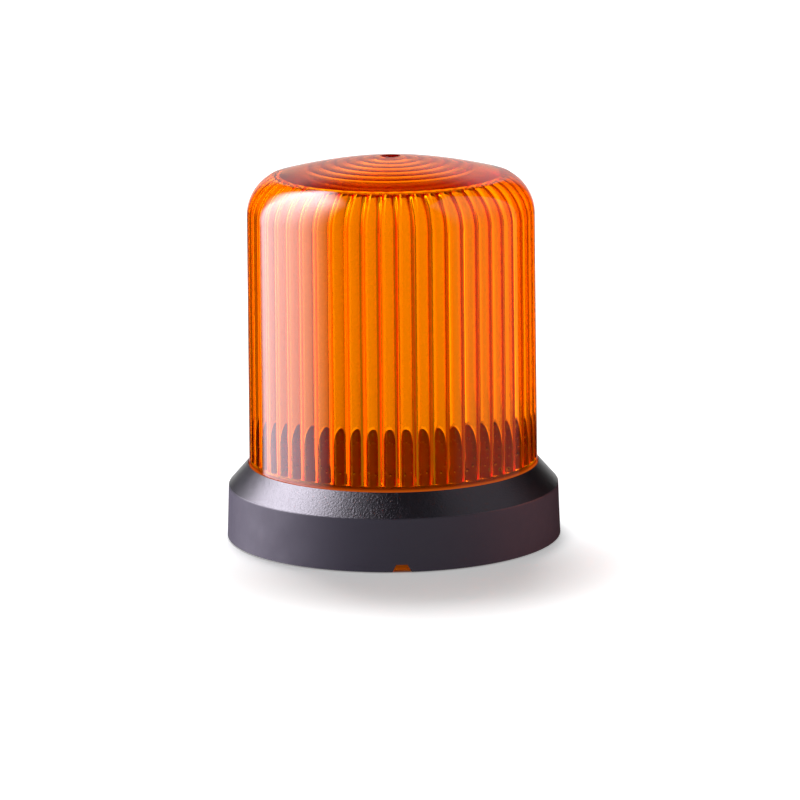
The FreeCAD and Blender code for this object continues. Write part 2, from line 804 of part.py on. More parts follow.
def build_led_cover():
    """Black deck over the lights, lying on the collar, with a slanted window at each light."""
    body = new_body("led_cover")
    rim_outer = cup_inner_radius - size.deck_rim_gap
    rim_foot = collar_top - size.deck_rim_depth
    profile = [
        (ZERO, collar_top),
        (rim_outer - size.deck_rim_wall, collar_top),
        (rim_outer - size.deck_rim_wall, rim_foot),
        (rim_outer, rim_foot),
        (rim_outer, collar_top),
        (deck_radius, collar_top),
        (deck_radius, deck_top),
        (ZERO, deck_top),
    ]
    turned(body, "deck", profile)
    half_deck = size.deck_thickness / 2
    pad_shape = rectangle(ZERO, size.pad_radius, light_board_top, collar_top + half_deck)
    pad = turned(body, "deck_pad", pad_shape, turn=size.post_turn, axis_at=post_circle_radius)
    around(body, [pad], size.insert_count)
    head_seat = deck_top - size.cover_head_height
    board_hole(body, "deck_screw_hole", post_circle_radius, size.cover_screw_radius + size.screw_gap,
               size.post_turn, light_board_top, deck_top, size.insert_count)
    board_hole(body, "deck_head_recess", post_circle_radius, size.cover_head_radius + size.screw_gap,
               size.post_turn, head_seat, deck_top, size.insert_count)
    widening = size.deck_thickness * tangent(size.led_window_slant)
    window = [(ZERO, collar_top), (size.led_window_radius, collar_top),
              (size.led_window_radius + widening, deck_top), (ZERO, deck_top)]
    led_window = turned(body, "led_window", window, axis_at=size.led_circle_radius, cut=True)
    around(body, [led_window], size.led_count)


def build_screws(label, seat, length, shank, head_radius, head_height, circle_radius, turn):
    """Round-headed screws with a blind drive socket, each head on its seat."""
    body = new_body(label, several=True)
    head_top = seat + head_height
    foot = head_top - length
    profile = [
        (ZERO, foot),
        (shank, foot),
        (shank, seat),
        (head_radius, seat),
        (head_radius, head_top),
        (size.drive_radius, head_top),
        (size.drive_radius, head_top - size.drive_depth),
        (ZERO, head_top - size.drive_depth),
    ]
    screw = turned(body, label + "_turned", profile, turn=turn, axis_at=circle_radius)
    around(body, [screw], size.insert_count)


def build_terminal_block():
    """Screw terminals for the supply, their wire mouths towards the middle of the board."""
    count = int(size.terminal_count.number)
    width = size.terminal_pitch * size.terminal_count
    row = -size.terminal_offset
    top = driver_board_top + size.terminal_height
    shell = block("terminal_shell", ZERO, row, driver_board_top, width,
                  size.terminal_depth, size.terminal_height)
    wells = []
    screws = []
    mouth_row = row + size.terminal_depth / 2 - size.terminal_mouth_depth / 2
    for index in range(count):
        place = size.terminal_pitch * (index + 0.5) - width / 2
        well_radius = size.terminal_screw_radius + size.terminal_gap
        wells.append(rod(f"terminal_well_{index}", place, row, top - size.terminal_well_depth,
                         well_radius, size.terminal_well_depth))
        mouth_bottom = driver_board_top + size.terminal_mouth_lift
        wells.append(block(f"terminal_mouth_{index}", place, mouth_row, mouth_bottom,
                           size.terminal_mouth_side, size.terminal_mouth_depth, size.terminal_mouth_side))
        screws.append(terminal_screw(index, place, row, top - size.terminal_well_depth))
    keep("terminal_block", less("terminal_block", shell, wells))
    keep("terminal_screws", group("terminal_screws", screws))


def terminal_screw(index, x, y, bottom):
    """A slotted clamping screw on the floor of its well."""
    body = rod(f"terminal_screw_{index}", x, y, bottom, size.terminal_screw_radius,
               size.terminal_screw_length)
    slot_bottom = bottom + size.terminal_screw_length - size.terminal_screw_depth
    slot = block(f"terminal_slot_{index}", x, y, slot_bottom, size.terminal_screw_radius * 3,
                 size.terminal_screw_depth, size.terminal_screw_depth)
    return less(f"slotted_screw_{index}", body, [slot])


def build_capacitors():
    """Two upright storage capacitors, each can on a square foot."""
    cans = []
    for side in (-1, 1):
        place = size.capacitor_spacing * side / 2
        name = "left" if side < 0 else "right"
        foot = block(f"capacitor_foot_{name}", place, size.capacitor_offset, driver_board_top,
                     size.capacitor_foot_side, size.capacitor_foot_side, size.capacitor_foot_height)
        can = rod(f"capacitor_can_{name}", place, size.capacitor_offset, driver_board_top,
                  size.capacitor_radius, size.capacitor_height)
        cans.append(joined(f"capacitor_{name}", [foot, can]))
    keep("storage_capacitors", group("storage_capacitors", cans))


def build_inductor():
    case = block("inductor_case", size.inductor_offset, ZERO, driver_board_top,
                 size.inductor_side, size.inductor_side, size.inductor_height)
    core = rod("inductor_core", size.inductor_offset, ZERO, driver_board_top,
               size.inductor_core_radius, size.inductor_height + size.inductor_core_rise)
    keep("power_inductor", joined("power_inductor", [case, core]))


def build_small_parts():
    """Rectifier, control chip, fuse, and the connector that joins the two boards."""
    keep("bridge_rectifier", block("bridge_rectifier", -size.rectifier_offset_side,
                                   size.rectifier_offset_front, driver_board_top, size.rectifier_width,
                                   size.rectifier_depth, size.rectifier_height))
    keep("driver_chip", block("driver_chip", size.chip_offset_side, -size.chip_offset_front,
                              driver_board_top, size.chip_width, size.chip_depth, size.chip_height))
    keep("input_fuse", rod("input_fuse", -size.fuse_offset_side, -size.fuse_offset_front, driver_board_top,
                           size.fuse_radius, size.fuse_height))
    connector_row = driver_board_radius - size.connector_edge_gap - size.connector_depth / 2
    keep("board_connector", block("board_connector", ZERO, connector_row, driver_board_top,
                                  size.connector_width, size.connector_depth,
                                  light_board_bottom - driver_board_top))


def check_and_write():
    doc.recompute()
    faults = [item.Label for item in doc.Objects if set(item.State) & {"Invalid", "Error"}]
    if faults:
        raise RuntimeError(f"objects that failed: {faults}")
    for item in doc.Objects:
        cuts = item.TypeId in ("PartDesign::Groove", "PartDesign::Pocket", "PartDesign::SubtractivePipe")
        if cuts and item.Shape.Volume >= item.BaseFeature.Shape.Volume:
            raise RuntimeError(f"cut that removes nothing: {item.Label}")
    os.makedirs("parts", exist_ok=True)
    for label, piece in pieces.items():
        shape = piece.Shape
        if shape.isNull() or not shape.isValid() or shape.Volume <= 0:
            raise RuntimeError(f"piece that isn't a sound solid: {label}")
        print(f"{label}: {len(shape.Solids)} solids, {shape.Volume:.1f} mm3, box {shape.BoundBox}")
    for label, piece in pieces.items():
        piece.Shape.exportStep(f"parts/{label}.step")


build_lens_dome()
build_trim_ring()
build_base_housing()
build_mounting_gasket()
build_mounting_inserts()
build_cable_grommet()
build_dome_seal()
build_driver_board()
build_light_board()
build_leds()
build_led_cover()
build_screws("cover_screws", deck_top - size.cover_head_height, size.cover_screw_length,
             size.cover_screw_radius, size.cover_head_radius, size.cover_head_height,
             post_circle_radius, size.post_turn)
build_screws("driver_board_screws", driver_board_top, size.board_screw_length + size.board_head_height,
             size.board_screw_radius, size.board_head_radius, size.board_head_height,
             standoff_circle_radius, size.standoff_turn)
build_terminal_block()
build_capacitors()
build_inductor()
build_small_parts()
check_and_write()
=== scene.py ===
"""LED beacon: an amber fluted dome on a black ring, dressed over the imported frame. Lengths are in metres."""
import math
import bmesh
import bpy
from mathutils import Matrix, Vector


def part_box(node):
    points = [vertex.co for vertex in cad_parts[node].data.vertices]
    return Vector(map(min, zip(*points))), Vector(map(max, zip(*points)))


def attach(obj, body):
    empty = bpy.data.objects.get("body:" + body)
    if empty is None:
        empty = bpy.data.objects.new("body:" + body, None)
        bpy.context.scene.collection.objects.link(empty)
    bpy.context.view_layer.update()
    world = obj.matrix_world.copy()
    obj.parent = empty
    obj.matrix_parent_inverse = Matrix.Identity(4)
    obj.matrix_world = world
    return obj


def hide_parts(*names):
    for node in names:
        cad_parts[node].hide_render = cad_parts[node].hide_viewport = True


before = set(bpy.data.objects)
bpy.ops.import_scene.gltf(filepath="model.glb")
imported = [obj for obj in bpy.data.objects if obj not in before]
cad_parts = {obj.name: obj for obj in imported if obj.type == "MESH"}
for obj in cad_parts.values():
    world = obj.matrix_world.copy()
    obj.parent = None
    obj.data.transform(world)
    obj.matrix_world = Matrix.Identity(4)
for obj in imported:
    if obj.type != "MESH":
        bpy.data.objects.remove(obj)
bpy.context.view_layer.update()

MM = 0.001
FULL_TURN = 2 * math.pi
SHARP_ANGLE = math.radians(35)

# Corners of the CAD nodes that the new pieces are fitted to
dome_low, dome_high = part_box("lens_dome")
ring_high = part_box("trim_ring")[1]

# Dome, from the ring's mouth upwards
MOUTH = ring_high.z
MOUTH_RADIUS = 42.3 * MM
WALL_TOP = MOUTH + 73 * MM
WALL_TOP_RADIUS = MOUTH_RADIUS - 0.5 * MM
SHOULDER_RADIUS = 12.8 * MM
SHOULDER_RISE = 11.3 * MM
SHOULDER_STEPS = 16
RIM_RADIUS = WALL_TOP_RADIUS - SHOULDER_RADIUS + math.sqrt(SHOULDER_RADIUS ** 2 - SHOULDER_RISE ** 2)
CROWN_RISE = 5.8 * MM
CROWN_CURVE = 200 * MM
CROWN_STEPS = 10
APEX = WALL_TOP + SHOULDER_RISE + CROWN_RISE
DIMPLE_RADIUS = 2.9 * MM
DIMPLE_DEPTH = 1.2 * MM

# Flutes inside the dome
FLUTE_COUNT = 50
FLUTE_STEPS = 16
FLUTE_RADIUS = 2.5 * MM
FLUTE_WALL = 2.1 * MM
CREST_WALL = 3.55 * MM
FLUTE_FOOT = MOUTH + 1.3 * MM
FLUTE_SWEEP = math.radians(68)
FLUTE_TURN = math.radians(-91.5)

# Underside of the crown, with its light rings
CROWN_WALL = 2.4 * MM
CROWN_INNER_SLOPE = math.radians(10)
CROWN_INNER_RADIUS = 24.5 * MM
RIM_INNER_SLOPE = math.radians(7.5)
SHOULDER_INNER_RADIUS = 31.5 * MM
SHOULDER_INNER_STEPS = 24
LIGHT_RING_COUNT = 6
LIGHT_RING_FIRST = 4.6 * MM
LIGHT_RING_PITCH = 3.7 * MM
LIGHT_RING_WIDTH = 0.6 * MM
LIGHT_RING_DEPTH = 0.15 * MM

# Dome below the ring's mouth
BORE_RADIUS = MOUTH_RADIUS - FLUTE_WALL
FLANGE_RADIUS = dome_high.x
FLANGE_FOOT = dome_low.z
FLANGE_TOP = FLANGE_FOOT + 2.2 * MM
SKIRT_RADIUS = FLANGE_RADIUS - 1.2 * MM
SKIRT_INNER_RADIUS = SKIRT_RADIUS - 2 * MM
FLARE_TOP = MOUTH - 3.7 * MM
FLARE_FOOT = MOUTH - 7.7 * MM
FLARE_WALL = 1.8 * MM

# Lugs that lock the dome on the cup
LUG_COUNT = 3
LUG_FOOT = 4.0 * MM
LUG_TOP = 6.4 * MM
LUG_ANGLE = math.radians(16)
LUG_TURN = math.radians(-30)
LUG_STEPS = 6

# Amber plastic, frosted under the crown, with a painted glow where it enters the ring
AMBER_TINT = (1.0, 0.6, 0.04)
AMBER_IOR = 1.585
AMBER_DEPTH = (0.985, 0.815, 0.0)
AMBER_DENSITY = 600
AMBER_ROUGHNESS = (0.01, 0.04)
FROSTING = 0.2
# Painted glow at the dome's foot: its emission colour, its strength, and its share behind the ring
PAINTED_FOOT_GLOW = (1.0, 0.22, 0.02)
PAINTED_FOOT_GLOW_STRENGTH = 0.2
PAINTED_GLOW_BEHIND_RING = 0.35

# Ring: a matt skirt and, above the ridge, a glossy grained cone; painted light and shade make the skirt's
# colour lighter and the cone's darker
RIDGE = 15.4 * MM
RIDGE_BLEND = 0.3 * MM
SKIRT_BLACK_PAINTED_LIGHTER = (0.036, 0.032, 0.046)
CONE_BLACK_PAINTED_DARKER = (0.004, 0.0037, 0.0055)
SKIRT_ROUGHNESS = 0.58
CONE_ROUGHNESS = 0.2
SKIRT_GRAIN = 0.06
CONE_GRAIN = 0.8
RING_GRAIN_HEIGHT = 0.3 * MM
CONE_COAT = 0.9
CONE_COAT_ROUGHNESS = 0.3

# Floor, a hair below the beacon so that no faces meet, with painted shade near it
FLOOR_GAP = 0.05 * MM
FLOOR_RADIUS = 3.0
FLOOR_COLOUR = (0.82, 0.82, 0.83)
FLOOR_ROUGHNESS = 0.9
FLOOR_SHADE = 0.42
FLOOR_SHADE_START = 0.06
FLOOR_SHADE_END = 0.15

# World, as mirrored by gloss, seen through the dome and cast on plain surfaces
BACKDROP_MIRRORED = 0.45
HORIZON_MIRRORED = 0.8
GLOW_ROUND = 0.4
GLOW_BEHIND = 0.37
GLOW_BELOW = 2.2
GLOW_LEFT = 1.2
PLAIN_LIGHT = 0.1

# Tints of the panels
LEFT_TINT = (0.92, 0.86, 1.0)
RIGHT_TINT = (0.9, 0.84, 1.0)
BOUNCE_TINT = (1.0, 0.2, 0.12)

# Light that runs inside the dome's wall needs many bounces to come out again
LIGHT_BOUNCES = 32
MIRROR_BOUNCES = 24

# Camera of the photograph
CAMERA_BACK = 1.0916
CAMERA_HEIGHT = 0.2697
CAMERA_PITCH = 0.2077
CAMERA_ROLL = -0.0102
CAMERA_SENSOR = 36.0
CAMERA_LENS = 171.5
CAMERA_SHIFT = 0.0091
CAMERA_REACH = 20


def profile_arc(centre, radius, start, end, count):
    """Points of a round stretch in the (radius, height) plane, both ends included."""
    step = (end - start) / count
    angles = [start + step * index for index in range(count + 1)]
    return [(centre[0] + radius * math.cos(angle), centre[1] + radius * math.sin(angle)) for angle in angles]


def turn(bm, verts, angle):
    """Turns vertices about +Z."""
    bmesh.ops.rotate(bm, verts=verts, cent=(0, 0, 0), matrix=Matrix.Rotation(angle, 3, "Z"))


def spin(bm, shape, angle, steps):
    """Spins a shape about +Z, and closes it after a full turn."""
    bmesh.ops.spin(bm, geom=shape, cent=(0, 0, 0), axis=(0, 0, 1), dvec=(0, 0, 0), angle=angle, steps=steps,
                   use_merge=angle == FULL_TURN, use_normal_flip=False, use_duplicate=False)


def lathe(points):
    """A bmesh of a (radius, height) outline turned about +Z, with its steps in line with the flutes."""
    bm = bmesh.new()
    corners = [bm.verts.new((radius, 0, height)) for radius, height in points]
    edges = [bm.edges.new(pair) for pair in zip(corners, corners[1:])]
    spin(bm, corners + edges, FULL_TURN, FLUTE_COUNT * FLUTE_STEPS)
    turn(bm, bm.verts, FLUTE_TURN)
    return bm


def add_to(bm, other):
    """Moves the other bmesh's shape into this one."""
    mesh = bpy.data.meshes.new("carried")
    other.to_mesh(mesh)
    other.free()
    bm.from_mesh(mesh)
    bpy.data.meshes.remove(mesh)


def on_circle(vertex, circle):
    """Whether a vertex lies on a (radius, height) circle about +Z."""
    radius = math.hypot(vertex.co.x, vertex.co.y)
    return math.hypot(radius - circle[0], vertex.co.z - circle[1]) < 0.01 * MM


def new_piece(name, bm, material, body, creases=()):
    """Closes a bmesh into an object that rides on a body, smooth but for sharp edges and crease circles."""
    bmesh.ops.remove_doubles(bm, verts=bm.verts, dist=0.002 * MM)
    bmesh.ops.recalc_face_normals(bm, faces=bm.faces)
    for face in bm.faces:
        face.smooth = True
    for edge in bm.edges:
        creased = any(all(on_circle(vertex, circle) for vertex in edge.verts) for circle in creases)
        edge.smooth = edge.calc_face_angle(0) < SHARP_ANGLE and not creased
    mesh = bpy.data.meshes.new(name)
    bm.to_mesh(mesh)
    bm.free()
    mesh.materials.append(material)
    piece = bpy.data.objects.new(name, mesh)
    bpy.context.scene.collection.objects.link(piece)
    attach(piece, body)
    return piece


def crown_height(radius):
    """Height of the dome's outside over a radius of its crown, a shallow vault with a blunt point."""
    tip = Vector((0, APEX))
    rim = Vector((RIM_RADIUS, APEX - CROWN_RISE))
    chord = rim - tip
    reach = math.sqrt(CROWN_CURVE ** 2 - chord.length_squared / 4)
    centre = (tip + rim) / 2 + Vector((chord.y, -chord.x)).normalized() * reach
    return centre.y + math.sqrt(CROWN_CURVE ** 2 - (radius - centre.x) ** 2)


def dome_outside():
    """The dome's outline from the dimple down the outside, round the foot and up to the flutes."""
    shoulder_centre = (WALL_TOP_RADIUS - SHOULDER_RADIUS, WALL_TOP)
    rim_angle = math.asin(SHOULDER_RISE / SHOULDER_RADIUS)
    span = RIM_RADIUS - DIMPLE_RADIUS
    crown = [DIMPLE_RADIUS + span * step / CROWN_STEPS for step in range(CROWN_STEPS)]
    return [
        (0, APEX - DIMPLE_DEPTH),
        (DIMPLE_RADIUS, APEX - DIMPLE_DEPTH),
        *[(radius, crown_height(radius)) for radius in crown],
        *profile_arc(shoulder_centre, SHOULDER_RADIUS, rim_angle, 0, SHOULDER_STEPS),
        (MOUTH_RADIUS, MOUTH),
        (MOUTH_RADIUS, FLARE_TOP),
        (SKIRT_RADIUS, FLARE_FOOT),
        (SKIRT_RADIUS, FLANGE_TOP),
        (FLANGE_RADIUS, FLANGE_TOP),
        (FLANGE_RADIUS, FLANGE_FOOT),
        (SKIRT_INNER_RADIUS, FLANGE_FOOT),
        (SKIRT_INNER_RADIUS, FLARE_FOOT - FLARE_WALL),
        (BORE_RADIUS, FLARE_TOP - FLARE_WALL),
        (BORE_RADIUS, FLUTE_FOOT),
    ]


def crown_underside(radius):
    """Height of the crown's underside over a radius, before its light rings."""
    return APEX - CROWN_WALL - radius * math.tan(CROWN_INNER_SLOPE)


def shoulder_top():
    """Height of the inner shoulder's upper end, where the crown's underside runs out."""
    run_out = SHOULDER_INNER_RADIUS - CROWN_INNER_RADIUS
    return crown_underside(CROWN_INNER_RADIUS) - run_out * math.tan(RIM_INNER_SLOPE)


def dome_inside():
    """The dome's inner outline before its flutes are cut, from their foot up to the crown's middle."""
    crest_top = WALL_TOP_RADIUS - CREST_WALL
    across = crest_top - SHOULDER_INNER_RADIUS
    rise = shoulder_top() - WALL_TOP
    curve = (across ** 2 + rise ** 2) / (2 * across)
    shoulder_end = math.atan2(rise, curve - across)
    points = [
        (BORE_RADIUS, FLUTE_FOOT),
        (MOUTH_RADIUS - CREST_WALL, FLUTE_FOOT),
        *profile_arc((crest_top - curve, WALL_TOP), curve, 0, shoulder_end, SHOULDER_INNER_STEPS),
        (CROWN_INNER_RADIUS, crown_underside(CROWN_INNER_RADIUS)),
    ]
    for index in reversed(range(LIGHT_RING_COUNT)):
        middle = LIGHT_RING_FIRST + LIGHT_RING_PITCH * index
        far = middle + LIGHT_RING_WIDTH / 2
        near = middle - LIGHT_RING_WIDTH / 2
        points.append((far, crown_underside(far)))
        points.append((middle, crown_underside(middle) + LIGHT_RING_DEPTH))
        points.append((near, crown_underside(near)))
    return points + [(0, crown_underside(0))]


def flute_place(radius, height):
    """Nearest point of a flute's axis in the (radius, height) plane, and the way out through the wall."""
    offset = FLUTE_WALL + FLUTE_RADIUS
    if height <= WALL_TOP:
        share = (height - MOUTH) / (WALL_TOP - MOUTH)
        wall_radius = MOUTH_RADIUS + (WALL_TOP_RADIUS - MOUTH_RADIUS) * share
        return Vector((wall_radius - offset, height)), Vector((1, 0))
    centre = Vector((WALL_TOP_RADIUS - SHOULDER_RADIUS, WALL_TOP))
    angle = math.atan2(height - centre.y, radius - centre.x)
    outward = Vector((math.cos(angle), math.sin(angle)))
    return centre + outward * (SHOULDER_RADIUS - offset), outward


def cut_flutes(bm):
    """Presses the flutes into a turned inner wall: each vertex moves out to the nearest flute's round."""
    pitch = FULL_TURN / FLUTE_COUNT
    for vertex in bm.verts:
        radius = math.hypot(vertex.co.x, vertex.co.y)
        if math.atan2(vertex.co.z - WALL_TOP, radius - WALL_TOP_RADIUS + SHOULDER_RADIUS) > FLUTE_SWEEP:
            continue
        angle = math.atan2(vertex.co.y, vertex.co.x)
        side = (angle - FLUTE_TURN + pitch / 2) % pitch - pitch / 2
        axis_point, outward = flute_place(radius, vertex.co.z)
        across = axis_point.x * side
        wall = outward.dot(Vector((radius, vertex.co.z)) - axis_point)
        round_reach = math.sqrt(max(FLUTE_RADIUS ** 2 - across ** 2, 0))
        if round_reach > wall:
            moved = axis_point + outward * round_reach
            vertex.co = (moved.x * math.cos(angle), moved.x * math.sin(angle), moved.y)


def make_dome(material):
    """Amber dome: smooth outside, fluted inside."""
    bm = lathe(dome_inside())
    cut_flutes(bm)
    add_to(bm, lathe(dome_outside()))
    creases = [(RIM_RADIUS, WALL_TOP + SHOULDER_RISE), (SHOULDER_INNER_RADIUS, shoulder_top()),
               (CROWN_INNER_RADIUS, crown_underside(CROWN_INNER_RADIUS))]
    dome = new_piece("fluted_dome", bm, material, "cover", creases)
    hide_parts("lens_dome")


def make_lugs(material):
    """The lugs inside the dome's skirt that lock it on the cup."""
    outline = [(BORE_RADIUS, LUG_FOOT), (SKIRT_INNER_RADIUS, LUG_FOOT),
               (SKIRT_INNER_RADIUS, LUG_TOP), (BORE_RADIUS, LUG_TOP)]
    bm = bmesh.new()
    for lug in range(LUG_COUNT):
        section = [bm.verts.new((radius, 0, height)) for radius, height in outline]
        face = bm.faces.new(section)
        turn(bm, section, LUG_TURN + FULL_TURN * lug / LUG_COUNT - LUG_ANGLE / 2)
        spin(bm, [*section, *face.edges, face], LUG_ANGLE, LUG_STEPS)
    new_piece("lens_lugs", bm, material, "cover")


def new_material(name):
    """A material with its node tree and main shader."""
    material = bpy.data.materials.new(name)
    material.use_nodes = True
    tree = material.node_tree
    return material, tree, tree.nodes["Principled BSDF"]


def node(tree, kind, **values):
    """A node of the tree, with values for its inputs by name."""
    made = tree.nodes.new(kind)
    for name, value in values.items():
        made.inputs[name.replace("_", " ")].default_value = value
    return made


def combined(tree, operation, *values):
    """The result of a Math node over outputs and numbers."""
    made = tree.nodes.new("ShaderNodeMath")
    made.operation = operation
    for socket, value in zip(made.inputs, values):
        if isinstance(value, (int, float)):
            socket.default_value = value
        else:
            tree.links.new(value, socket)
    return made.outputs[0]


def joined(tree, operation, values):
    """The result of a chain of Math nodes over any count of outputs and numbers."""
    result = values[0]
    for value in values[1:]:
        result = combined(tree, operation, result, value)
    return result


def measured(tree, operation, vector, other=None):
    """The result of a Vector Math node: a number for a length or a dot product, and a vector otherwise."""
    made = tree.nodes.new("ShaderNodeVectorMath")
    made.operation = operation
    tree.links.new(vector, made.inputs[0])
    if other is not None:
        made.inputs[1].default_value = other
    return made.outputs["Value" if operation in ("LENGTH", "DOT_PRODUCT") else "Vector"]


def spread(tree, value, start, end, low=0.0, high=1.0, smooth=False):
    """An output that runs from low to high while a value runs from start to end, and holds beyond them."""
    made = node(tree, "ShaderNodeMapRange", From_Min=start, From_Max=end, To_Min=low, To_Max=high)
    if smooth:
        made.interpolation_type = "SMOOTHSTEP"
    tree.links.new(value, made.inputs["Value"])
    return made.outputs["Result"]


def between(tree, noise, low, high):
    """Spreads the middle of a noise between two numbers."""
    return spread(tree, noise, 0.3, 0.7, low, high)


def blended(tree, factor, first, second):
    """A colour between two, by a factor."""
    mix = tree.nodes.new("ShaderNodeMix")
    mix.data_type = "RGBA"
    mix.inputs["A"].default_value = (*first, 1)
    mix.inputs["B"].default_value = (*second, 1)
    tree.links.new(factor, mix.inputs["Factor"])
    return mix.outputs["Result"]


def object_place(tree):
    """A piece's own coordinates, and their height."""
    place = tree.nodes.new("ShaderNodeTexCoord")
    parts = tree.nodes.new("ShaderNodeSeparateXYZ")
    tree.links.new(place.outputs["Object"], parts.inputs["Vector"])
    return place.outputs["Object"], parts.outputs["Z"]


def new_group(name, inputs, outputs):
    """An empty shader group: inputs are (name, default) numbers, outputs are names."""
    group = bpy.data.node_groups.new(name, "ShaderNodeTree")
    for label, value in inputs:
        group.interface.new_socket(label, in_out="INPUT", socket_type="NodeSocketFloat").default_value = value
    for label in outputs:
        group.interface.new_socket(label, in_out="OUTPUT", socket_type="NodeSocketFloat")
    return group, group.nodes.new("NodeGroupInput"), group.nodes.new("NodeGroupOutput")


def make_grain_group():
    """Moulded grain: a fine height and a slower patchiness, both from 0 to 1."""
    group, given, result = new_group("moulded_grain", [("Fine", 3000), ("Broad", 120)], ["Height", "Patches"])
    place = group.nodes.new("ShaderNodeTexCoord")
    fine = node(group, "ShaderNodeTexNoise", Detail=3.0, Roughness=0.6)
    broad = node(group, "ShaderNodeTexNoise", Detail=4.0, Roughness=0.55)
    for texture, label in ((fine, "Fine"), (broad, "Broad")):
        group.links.new(place.outputs["Object"], texture.inputs["Vector"])
        group.links.new(given.outputs[label], texture.inputs["Scale"])
    group.links.new(fine.outputs["Fac"], result.inputs["Height"])
    group.links.new(broad.outputs["Fac"], result.inputs["Patches"])
    return group


GRAIN = make_grain_group()


def grained(tree, fine, broad):
    """The moulded grain in a material, with its own two scales."""
    grain = tree.nodes.new("ShaderNodeGroup")
    grain.node_tree = GRAIN
    grain.inputs["Fine"].default_value = fine
    grain.inputs["Broad"].default_value = broad
    return grain


def plain_finish(name, dark, light, roughness, fine=3000, broad=120, relief=0.02 * MM, metallic=0.0):
    """A grained solid finish: colour between two shades, roughness and relief from the same grain."""
    material, tree, shader = new_material(name)
    grain = grained(tree, fine, broad)
    tree.links.new(blended(tree, grain.outputs["Patches"], dark, light), shader.inputs["Base Color"])
    tree.links.new(between(tree, grain.outputs["Patches"], *roughness), shader.inputs["Roughness"])
    bump = node(tree, "ShaderNodeBump", Strength=0.5, Distance=relief)
    tree.links.new(grain.outputs["Height"], bump.inputs["Height"])
    tree.links.new(bump.outputs["Normal"], shader.inputs["Normal"])
    shader.inputs["Metallic"].default_value = metallic
    return material


def make_amber():
    """Clear amber plastic, deeper in colour where the wall is thick, with a painted glow at its foot."""
    material, tree, shader = new_material("amber_plastic")
    shader.inputs["Base Color"].default_value = (*AMBER_TINT, 1)
    shader.inputs["Transmission Weight"].default_value = 1.0
    shader.inputs["IOR"].default_value = AMBER_IOR
    grain = grained(tree, 900, 60)
    place, height = object_place(tree)

    # The crown's underside is a cone, so a sum of height and radius tells it from the outside above it
    from_axis = measured(tree, "LENGTH", measured(tree, "MULTIPLY", place, (1, 1, 0)))
    along_cone = combined(tree, "MULTIPLY_ADD", from_axis, math.tan(CROWN_INNER_SLOPE), height)
    cone_tip = APEX - CROWN_WALL
    cone_foot = crown_underside(CROWN_INNER_RADIUS)
    under = spread(tree, along_cone, cone_tip + 0.3 * MM, cone_tip + 0.4 * MM, 1.0, 0.0)
    high_up = spread(tree, height, cone_foot - 1.1 * MM, cone_foot)
    frosted = combined(tree, "MULTIPLY", under, high_up)
    polish = between(tree, grain.outputs["Patches"], *AMBER_ROUGHNESS)
    rough = combined(tree, "MULTIPLY_ADD", frosted, FROSTING, polish)
    tree.links.new(rough, shader.inputs["Roughness"])

    # Painted glow, an emission in place of light carried out of the wall: a thin line at the mouth, and less
    # of it behind the ring
    foot = spread(tree, height, MOUTH + 0.1 * MM, MOUTH + 0.8 * MM, 1.0, 0.0)
    painted_glow_behind_ring_share = spread(tree, height, MOUTH - 1 * MM, MOUTH - 0.4 * MM, PAINTED_GLOW_BEHIND_RING, 1.0)
    edge = combined(tree, "MULTIPLY", foot, painted_glow_behind_ring_share)
    tree.links.new(blended(tree, edge, (0, 0, 0), PAINTED_FOOT_GLOW), shader.inputs["Emission Color"])
    shader.inputs["Emission Strength"].default_value = PAINTED_FOOT_GLOW_STRENGTH
    depth = node(tree, "ShaderNodeVolumeAbsorption", Color=(*AMBER_DEPTH, 1), Density=AMBER_DENSITY)
    tree.links.new(depth.outputs["Volume"], tree.nodes["Material Output"].inputs["Volume"])
    return material


def make_ring_finish():
    """Black ring: its cone is glossier than the skirt below the ridge, and its grain stands higher; painted
    shade makes the cone's colour darker than the skirt's.
    """
    material, tree, shader = new_material("black_ring")
    height = object_place(tree)[1]
    grain = grained(tree, 1700, 150)
    cone = spread(tree, height, RIDGE - RIDGE_BLEND, RIDGE + RIDGE_BLEND)
    tree.links.new(blended(tree, cone, SKIRT_BLACK_PAINTED_LIGHTER, CONE_BLACK_PAINTED_DARKER), shader.inputs["Base Color"])
    rough = spread(tree, cone, 0, 1, SKIRT_ROUGHNESS, CONE_ROUGHNESS)
    uneven = between(tree, grain.outputs["Patches"], 0.9, 1.1)
    tree.links.new(combined(tree, "MULTIPLY", rough, uneven), shader.inputs["Roughness"])
    tree.links.new(combined(tree, "MULTIPLY", cone, CONE_COAT), shader.inputs["Coat Weight"])
    shader.inputs["Coat Roughness"].default_value = CONE_COAT_ROUGHNESS
    bump = node(tree, "ShaderNodeBump", Distance=RING_GRAIN_HEIGHT)
    tree.links.new(spread(tree, cone, 0, 1, SKIRT_GRAIN, CONE_GRAIN), bump.inputs["Strength"])
    tree.links.new(grain.outputs["Height"], bump.inputs["Height"])
    tree.links.new(bump.outputs["Normal"], shader.inputs["Normal"])
    return material


